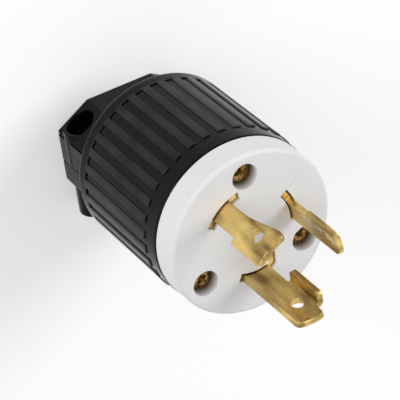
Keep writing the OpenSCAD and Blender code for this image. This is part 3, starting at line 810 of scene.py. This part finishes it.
def panScrew(seat, tip):
    # head from the seat up, shank from tip to seat
    r, h = screw["head"], screw["headHeight"]
    dome = [(r, seat + 0.55 * h), (r - 0.25, seat + 0.8 * h), (r - 0.9, seat + 0.95 * h), (r - 1.7,
                                                                                           seat + h), (0,
                                                                                                       seat + h)]
    head = lathe("head", [(0, seat), (r - 0.15, seat), (r, seat + 0.15)] + dome, 40)
    wide, deep, top = screw["recessWidth"], screw["recessDeep"], seat + h
    arms = []
    for turn in (0, 90):
        bm = bmesh.new()
        bmesh.ops.create_cone(bm, cap_ends=True, segments=4, radius1=0.25,
                              radius2=screw["recess"] / 2 / 0.7071, depth=deep + 0.4)
        bm.transform(Matrix.Translation((0, 0,
                                         top - deep / 2 + 0.2)) @ Matrix.Rotation(math.radians(turn), 4,
                                                                                  "Z")
                     @ Matrix.Scale(wide / screw["recess"], 4, (0, 1,
                                                                0)) @ Matrix.Rotation(math.radians(45), 4,
                                                                                      "Z"))
        arms.append(asObject("arm", bm))
    arms.append(rod("centre", 0.35, top - deep - 0.1, top + 0.3, steps=20, top=1.15))
    carve(head, arms)
    soften(head, 0.09, 50, 2)
    shank = threadedShank(tip, seat + 0.05)
    bm = bmesh.new()
    bm.from_mesh(head.data)
    bm.from_mesh(shank.data)
    bm.to_mesh(head.data)
    bm.free()
    drop(shank)
    return head


seatZ = faceZ - body["wellDepth"]
faceScrews = ringCopies("screws_face", panScrew(seatZ, screwTipZ), 3, screwRing, shell["firstScrew"],
                        "bronzeScrew")
install(faceScrews, "bronzeScrew", "bronze_screw", "assembly_screws")

clamp = {
    "width": 43.4, "depth": 29.6, "flatX": 10.85, "flatY": 8.5, "height": 18.8, "parting": -1.7,
    "neck": 13.6, "collar": 16.6, "collarLow": 22.7, "collarHigh": 24.7, "notch": 4.6,
    "bore": 10.5, "ridge": 1.1, "ridges": (4.2, 8.6, 13.0), "mouth": 1.2,
    "screwX": 16.5, "screwZ": 5.6, "boss": 5.4, "bossTop": 10.3, "well": 4.2, "seat": 3.4,
    "post": 4.8, "postEnd": -18.8, "hole": 1.95, "nutFlats": 6.0, "nutHeight": 2.8, "nutGap": 0.1,
    "stepY": (7.3, 8.2), "stepDeep": 0.45, "edge": 0.35,
}


def clampRod(name, radius, low, high, **more):
    # one rod along Y on each clamp screw
    both = []
    for side in (-1, 1):
        onto = Matrix.Translation((side * clamp["screwX"], 0, clamp["screwZ"])) @ acrossY
        both.append(rod(name, radius, low, high, onto, **more))
    return both


def clampBlank(name):
    x, y, fx, fy = clamp["width"] / 2, clamp["depth"] / 2, clamp["flatX"], clamp["flatY"]
    outline = [(x, fy), (fx, y), (-fx, y), (-x, fy), (-x, -fy), (-fx, -y), (fx, -y), (x, -fy)]
    made = prism(name, outline, 0, clamp["height"])
    soften(made, 0.5, 30, 3)
    neck = lathe("neck", [(0, clamp["height"] - 1), (clamp["neck"], clamp["height"] - 1),
                          (clamp["neck"], clamp["collarLow"]), (clamp["collar"], clamp["collarLow"]),
                          (clamp["collar"], clamp["collarHigh"]), (0, clamp["collarHigh"])], 96)
    return carve(made, [neck], "UNION")


def clampBore():
    rows = [(0, -1), (clamp["bore"] + clamp["mouth"] + 0.5, -1), (clamp["bore"] + clamp["mouth"], 0),
            (clamp["bore"], clamp["mouth"])]
    for height in clamp["ridges"]:
        rise, flat = clamp["ridge"], 0.55
        rows += [(clamp["bore"], height - flat - rise * 0.75), (clamp["bore"] - rise, height - flat),
                 (clamp["bore"] - rise, height + flat), (clamp["bore"], height + flat + rise * 0.75)]
    rows += [(clamp["bore"], clamp["collarHigh"] + 1), (0, clamp["collarHigh"] + 1)]
    return lathe("bore", rows, 80)


def keep(low, high):
    wide = clamp["width"]
    return prism("keep", [(-wide, low), (wide, low), (wide, high), (-wide, high)], -5,
                 clamp["collarHigh"] + 5)


def notches():
    ring = rod("notch", clamp["notch"], clamp["collarLow"] - 0.5, clamp["collarHigh"] + 1)
    return ringCopies("notches", ring, 3, screwRing, shell["firstScrew"], "blackNylon")


def steps():
    made = []
    low, high = clamp["stepY"]
    for side in (-1, 1):
        near, far = sorted((side * (clamp["width"] / 2 - clamp["stepDeep"]),
                            side * (clamp["width"] / 2 + 1)))
        step = prism("step", [(near, low), (far, low), (far, high), (near, high)], -1, clamp["height"] + 1)
        # the groove stops at the boss, a hair outside it
        made.append(carve(step, clampRod("boss", clamp["boss"] + 0.02, clamp["parting"], clamp["bossTop"],
                                         steps=64)))
    return made


def upperHalf():
    made = clampBlank("clamp_wells")
    carve(made, clampRod("boss", clamp["boss"], clamp["parting"] - 2, clamp["bossTop"], steps=64), "UNION")
    carve(made, [keep(clamp["parting"], 40)], "INTERSECT")
    carve(made, clampRod("well", clamp["well"], clamp["seat"], 30, steps=64))
    soften(made, clamp["edge"], 50, 2)
    # cut last: the parting edge stays sharp at the bore, as moulded
    carve(made, steps() + clampRod("hole", clamp["hole"], clamp["parting"] - 1, 10) + [notches(),
                                                                                       clampBore()])
    install(made, "blackNylon", "black_nylon", "clamp_upper")


def lowerHalf():
    made = clampBlank("clamp_posts")
    carve(made, clampRod("post", clamp["post"], clamp["postEnd"], clamp["parting"] + 2, steps=56), "UNION")
    carve(made, [keep(-40, clamp["parting"])], "INTERSECT")
    pockets = clampRod("pocket", (clamp["nutFlats"] / 2 + clamp["nutGap"]) / math.cos(math.pi / 6),
                       clamp["postEnd"] - 1, clamp["postEnd"] + clamp["nutHeight"] + clamp["nutGap"],
                       steps=6)
    carve(made, pockets)
    soften(made, clamp["edge"], 50, 2)
    carve(made, clampRod("hole", clamp["hole"], clamp["postEnd"] - 1, clamp["parting"] + 1) + [notches(),
                                                                                               clampBore()])
    install(made, "blackNylon", "black_nylon", "clamp_lower")


upperHalf()
lowerHalf()
clampScrews = ringCopies("screws_clamp", panScrew(clamp["seat"], clamp["postEnd"] + clamp["nutGap"]), 2,
                         clamp["screwX"], 0, "bronzeScrew")
clampScrews.data.transform(Matrix.Translation((0, 0, clamp["screwZ"])) @ acrossY)
install(clampScrews, "bronzeScrew", "bronze_screw", "clamp_screws")

# inner pieces keep their solids and get their finish

innerFinish = {
    "terminal_base": "baseNylon", "wire_plate_neutral": "nickelPlate", "wire_plate_hot": "bladeBrass",
    "wire_plate_ground": "bladeBrass", "terminal_screw_neutral": "nickelPlate",
    "terminal_screw_hot": "bladeBrass",
    "terminal_screw_ground": "greenScrew", "screw_retainers": "redFibre", "housing_inserts": "bladeBrass",
    "base_screw": "nickelPlate", "clamp_nuts": "nickelPlate",
}
for name, finish in innerFinish.items():
    for holder in cadNodes[name].material_slots:
        holder.material = finishes[finish]
print("inner pieces finished: %d" % len(innerFinish))

# floor, light and camera

studio = {
    "floorColour": "#e9e9e8", "floorLift": 0.36, "around": 0.44,
    "lamps": {
        "softKey": {"at": (1.1, 0.6, 1.25), "size": (0.8, 0.8), "watts": 11.0},
        "sideFill": {"at": (-1.2, 0.7, 0.55), "size": (0.9, 0.9), "watts": 8.0},
    },
    "aim": (-0.00279, 0.00025, 0.04807), "azimuth": 123.454, "elevation": 47.792, "roll": 129.95,
    "distance": 0.6205, "lens": 198.0,
}


def buildStudio():
    floor = prism("floor", [(-3000, -3000), (3000, -3000), (3000, 3000), (-3000, 3000)], -20, 0)
    floor.data.transform(Matrix.Scale(mm, 4))
    made, tree = newMaterial("paperSweep")      # pale matt paper, lifted to white for what looks at it
    path = put(tree, "ShaderNodeLightPath").outputs
    seen = put(tree, "ShaderNodeMath", {0: path["Is Camera Ray"], 1: path["Is Glossy Ray"]},
               operation="ADD")
    seen = put(tree, "ShaderNodeMath", {0: seen.outputs[0], 1: path["Is Transmission Ray"]},
               operation="ADD", use_clamp=True)
    paper = put(tree, "ShaderNodeBsdfDiffuse", {"Color": linear(studio["floorColour"])})
    strength = put(tree, "ShaderNodeMath", {0: seen.outputs[0], 1: studio["floorLift"]},
                   operation="MULTIPLY")
    lift = put(tree, "ShaderNodeEmission", {"Color": (1, 1, 1, 1), "Strength": strength.outputs[0]})
    both = put(tree, "ShaderNodeAddShader", {0: paper.outputs[0], 1: lift.outputs[0]})
    put(tree, "ShaderNodeOutputMaterial", {"Surface": both.outputs[0]})
    floor.data.materials.append(made)

    world = bpy.data.worlds.new("studio")
    world.use_nodes = True
    scene.world = world
    tree = world.node_tree
    tree.nodes.clear()
    path = put(tree, "ShaderNodeLightPath").outputs
    plain = put(tree, "ShaderNodeBackground", {"Color": (1, 1, 1, 1), "Strength": studio["around"]})
    white = put(tree, "ShaderNodeBackground", {"Color": (1, 1, 1, 1), "Strength": 1.0})
    seen = put(tree, "ShaderNodeMath", {0: path["Is Camera Ray"], 1: path["Is Glossy Ray"]},
               operation="ADD")
    seen = put(tree, "ShaderNodeMath", {0: seen.outputs[0], 1: path["Is Transmission Ray"]},
               operation="ADD", use_clamp=True)
    mixed = put(tree, "ShaderNodeMixShader", {0: seen.outputs[0], 1: plain.outputs[0], 2: white.outputs[0]})
    put(tree, "ShaderNodeOutputWorld", {"Surface": mixed.outputs[0]})

    aim = Vector(studio["aim"])
    for name, lamp in studio["lamps"].items():
        light = bpy.data.lights.new(name, "AREA")
        light.shape = "RECTANGLE"
        light.size, light.size_y = lamp["size"]
        light.energy = lamp["watts"]
        holder = bpy.data.objects.new(name, light)
        holder.location = lamp["at"]
        holder.rotation_euler = (aim - Vector(lamp["at"])).to_track_quat("-Z", "Y").to_euler()
        scene.collection.objects.link(holder)

    camera = bpy.data.cameras.new("camera")
    camera.lens = studio["lens"]
    camera.clip_start = 0.01
    eye = bpy.data.objects.new("camera", camera)
    turn, rise = math.radians(studio["azimuth"]), math.radians(studio["elevation"])
    back = Vector((math.cos(rise) * math.cos(turn), math.cos(rise) * math.sin(turn), math.sin(rise)))
    eye.location = aim + back * studio["distance"]
    upright = (-back).to_track_quat("-Z", "Y").to_matrix().to_4x4()
    eye.rotation_euler = (upright @ Matrix.Rotation(math.radians(studio["roll"]), 4, "Z")).to_euler()
    scene.collection.objects.link(eye)
    scene.camera = eye


buildStudio()
scene.view_settings.view_transform = "Standard"
print("studio ready")

bpy.context.view_layer.update()
